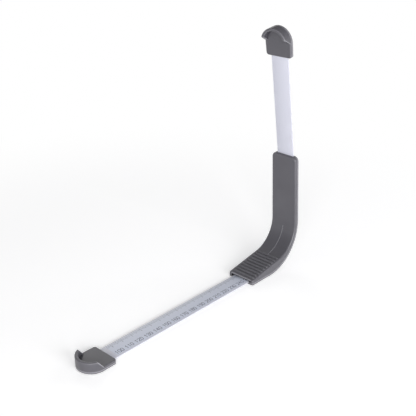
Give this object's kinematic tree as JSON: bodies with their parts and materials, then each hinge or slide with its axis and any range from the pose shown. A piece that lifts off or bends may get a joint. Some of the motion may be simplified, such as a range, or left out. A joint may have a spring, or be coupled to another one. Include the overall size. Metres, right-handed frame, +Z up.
{
  "type": "shoe and foot length gauge",
  "caption": "Sliding gauge for inner shoe or foot length: flexible scale strip through a bent heel guide, with a hooded toe stop and handle.",
  "frame": {"origin": "middle of the heel guide's flat underside, on the surface the gauge stands on", "axes": "+X along the strip from the toe stop to the heel, +Z up, Y across the strip; mirror-symmetric about Y = 0"},
  "size_m": [0.2458, 0.0276, 0.2202],
  "materials": {
    "grey_plastic": "satin moulded ABS, dark grey",
    "white_strip": "smooth flexible printed strip, white with a lilac tint",
    "steel_screw": "zinc-plated self-tapping screws"
  },
  "bodies": {
    "guide": {"guide_front_shell": "grey_plastic", "guide_back_shell": "grey_plastic", "guide_screws": "steel_screw", "strip_bend_run": "white_strip"},
    "toe_stop": {"toe_stop_cap": "grey_plastic", "toe_stop_base": "grey_plastic", "toe_stop_screws": "steel_screw", "strip_sole_run": "white_strip"},
    "handle": {"handle_cap": "grey_plastic", "handle_back": "grey_plastic", "handle_screws": "steel_screw", "strip_upright_run": "white_strip"}
  },
  "joints": [
    {"name": "toe_slide", "type": "slide", "parent": "guide", "child": "toe_stop", "axis": [-1, 0, 0], "range_m": [-0.154, 0.0885], "deforming": ["strip_sole_run"]},
    {"name": "handle_slide", "type": "slide", "parent": "guide", "child": "handle", "axis": [-0.1513, 0, 0.9885], "range_m": [-0.0885, 0.154], "deforming": ["strip_upright_run"]}
  ],
  "couplings": [
    {"joint": "handle_slide", "follows": "toe_slide", "ratio": -1}
  ]
}
